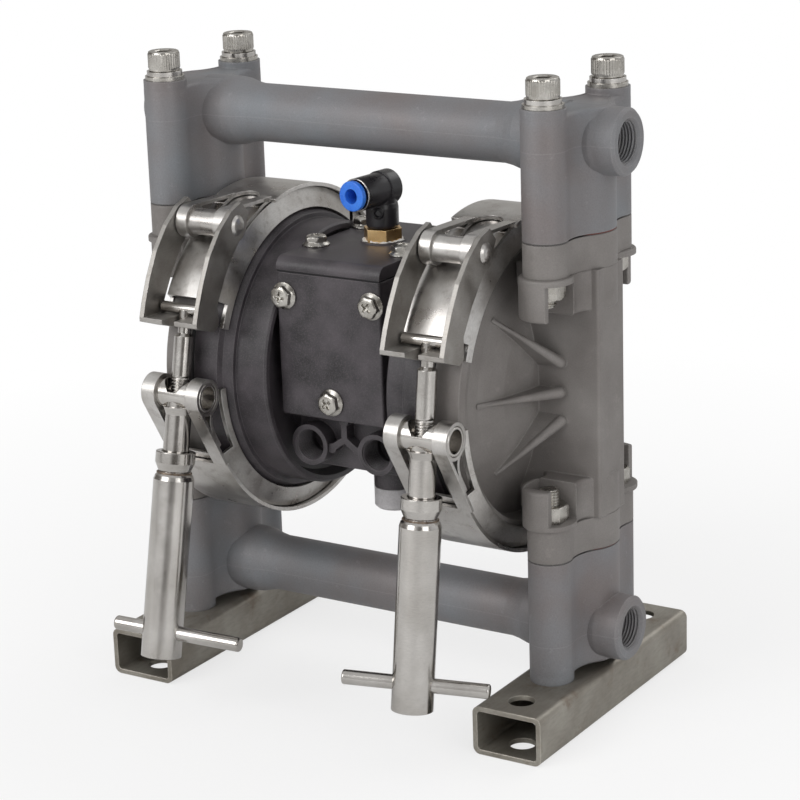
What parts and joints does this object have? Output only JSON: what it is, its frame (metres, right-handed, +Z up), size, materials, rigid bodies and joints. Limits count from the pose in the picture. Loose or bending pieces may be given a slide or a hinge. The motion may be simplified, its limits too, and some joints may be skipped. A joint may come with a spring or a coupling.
{
  "type": "air operated diaphragm pump",
  "caption": "Air operated double diaphragm pump with band-clamped chambers, ball check valves, a plastic air section and two base rails.",
  "frame": {"origin": "centre of the four foot holes, on the underside of the base rails", "axes": "+Z up, X along the diaphragm axis with +X to the right of a viewer at the latches, -Y is the front with the latches"},
  "size_m": [0.22, 0.1688, 0.26],
  "materials": {
    "cast_alloy": "bead-blasted casting",
    "polished_steel": "polished",
    "satin_steel": "satin",
    "zinc_steel": "bright zinc",
    "rail_steel": "matt paint",
    "black_plastic": "moulded, slightly rough",
    "gloss_black_plastic": "smooth",
    "blue_plastic": "smooth",
    "grey_plastic": "moulded",
    "white_plastic": "turned",
    "brass": "turned",
    "black_rubber": "matt",
    "red_rubber": "matt"
  },
  "bodies": {
    "frame": {"air_chamber_left": "black_plastic", "air_chamber_right": "black_plastic", "air_chamber_screws": "zinc_steel", "air_nipple": "brass", "base_rail_left": "rail_steel", "base_rail_right": "rail_steel", "centre_body": "black_plastic", "clamp_retainers_left": "polished_steel", "clamp_retainers_right": "polished_steel", "clamp_strap_left": "polished_steel", "clamp_strap_right": "polished_steel", "exhaust_silencer": "grey_plastic", "flat_washers": "zinc_steel", "inlet_manifold": "cast_alloy", "inlet_seals": "red_rubber", "inlet_seats": "white_plastic", "liquid_chamber_left": "cast_alloy", "liquid_chamber_right": "cast_alloy", "manifold_nuts": "zinc_steel", "manifold_screws_lower": "zinc_steel", "manifold_screws_upper": "zinc_steel", "outlet_manifold": "cast_alloy", "outlet_seals": "red_rubber", "outlet_seats": "white_plastic", "shaft_bushes": "white_plastic", "shaft_seals": "black_rubber", "spool_sleeve": "satin_steel", "spring_washers": "satin_steel", "top_cover": "black_plastic", "top_cover_gasket": "black_rubber", "top_cover_screws": "zinc_steel", "upper_trunnions": "polished_steel", "valve_block": "black_plastic", "valve_block_gasket": "black_rubber", "valve_block_screws": "zinc_steel", "yoke_pins": "polished_steel"},
    "shaft": {"main_shaft": "satin_steel", "inner_plates": "satin_steel", "outer_plates": "polished_steel", "diaphragm_left": "black_rubber", "diaphragm_right": "black_rubber"},
    "spool": {"spool": "white_plastic"},
    "elbow": {"elbow_body": "gloss_black_plastic"},
    "release_ring": {"release_ring": "blue_plastic"},
    "pilot_pin_left": {"pilot_pin_left": "satin_steel"},
    "outlet_ball_left": {"outlet_ball_left": "white_plastic"},
    "inlet_ball_left": {"inlet_ball_left": "white_plastic"},
    "tee_left": {"swivel_tee_left": "satin_steel"},
    "handle_left": {"handle_left": "satin_steel", "t_bar_left": "satin_steel"},
    "bolt_left": {"t_bolt_left": "satin_steel"},
    "yoke_left": {"latch_yoke_left": "polished_steel"},
    "pilot_pin_right": {"pilot_pin_right": "satin_steel"},
    "outlet_ball_right": {"outlet_ball_right": "white_plastic"},
    "inlet_ball_right": {"inlet_ball_right": "white_plastic"},
    "tee_right": {"swivel_tee_right": "satin_steel"},
    "handle_right": {"handle_right": "satin_steel", "t_bar_right": "satin_steel"},
    "bolt_right": {"t_bolt_right": "satin_steel"},
    "yoke_right": {"latch_yoke_right": "polished_steel"}
  },
  "joints": [
    {"name": "shaft_stroke", "type": "slide", "parent": "frame", "child": "shaft", "axis": [1, 0, 0], "range_m": [-0.0045, 0.0045], "deforming": ["diaphragm_left", "diaphragm_right"]},
    {"name": "spool_shift", "type": "slide", "parent": "frame", "child": "spool", "axis": [0, 0, 1], "range_m": [0, 0.006]},
    {"name": "fitting_swivel", "type": "hinge", "parent": "frame", "child": "elbow", "pos_m": [0, -0.0025, 0.2], "axis": [0, 0, 1], "continuous": true},
    {"name": "ring_press", "type": "slide", "parent": "elbow", "child": "release_ring", "axis": [0.1219, 0.9925, 0], "range_m": [0, 0.0014], "stiffness_N_per_m": 600, "springref_m": -0.001},
    {"name": "pilot_push_left", "type": "slide", "parent": "frame", "child": "pilot_pin_left", "axis": [1, 0, 0], "range_m": [0, 0.0035]},
    {"name": "outlet_ball_lift_left", "type": "slide", "parent": "frame", "child": "outlet_ball_left", "axis": [0, 0, 1], "range_m": [0, 0.004]},
    {"name": "inlet_ball_lift_left", "type": "slide", "parent": "frame", "child": "inlet_ball_left", "axis": [0, 0, 1], "range_m": [0, 0.004]},
    {"name": "tee_swing_left", "type": "hinge", "parent": "frame", "child": "tee_left", "pos_m": [-0.056, -0.06931, 0.13057], "axis": [1, 0, 0], "range_deg": [0, 10]},
    {"name": "handle_turn_left", "type": "hinge", "parent": "tee_left", "child": "handle_left", "pos_m": [-0.056, -0.06931, 0.13057], "axis": [0, -0.2113, -0.9774], "range_deg": [0, 360]},
    {"name": "bolt_feed_left", "type": "slide", "parent": "tee_left", "child": "bolt_left", "axis": [0, 0.2113, 0.9774], "range_m": [0, 0.00125]},
    {"name": "yoke_swing_left", "type": "hinge", "parent": "frame", "child": "yoke_left", "pos_m": [-0.056, -0.044, 0.19543], "axis": [1, 0, 0], "range_deg": [0, 1.2]},
    {"name": "pilot_push_right", "type": "slide", "parent": "frame", "child": "pilot_pin_right", "axis": [-1, 0, 0], "range_m": [0, 0.0035]},
    {"name": "outlet_ball_lift_right", "type": "slide", "parent": "frame", "child": "outlet_ball_right", "axis": [0, 0, 1], "range_m": [0, 0.004]},
    {"name": "inlet_ball_lift_right", "type": "slide", "parent": "frame", "child": "inlet_ball_right", "axis": [0, 0, 1], "range_m": [0, 0.004]},
    {"name": "tee_swing_right", "type": "hinge", "parent": "frame", "child": "tee_right", "pos_m": [0.0578, -0.06874, 0.12819], "axis": [1, 0, 0], "range_deg": [0, 10]},
    {"name": "handle_turn_right", "type": "hinge", "parent": "tee_right", "child": "handle_right", "pos_m": [0.0578, -0.06874, 0.12819], "axis": [0, -0.1392, -0.9903], "range_deg": [0, 360]},
    {"name": "bolt_feed_right", "type": "slide", "parent": "tee_right", "child": "bolt_right", "axis": [0, 0.1392, 0.9903], "range_m": [0, 0.00125]},
    {"name": "yoke_swing_right", "type": "hinge", "parent": "frame", "child": "yoke_right", "pos_m": [0.0578, -0.044, 0.19543], "axis": [1, 0, 0], "range_deg": [0, 1.2]}
  ],
  "couplings": [
    {"joint": "bolt_feed_left", "follows": "handle_turn_left", "m_per_rad": 0.0001989},
    {"joint": "bolt_feed_right", "follows": "handle_turn_right", "m_per_rad": 0.0001989}
  ]
}
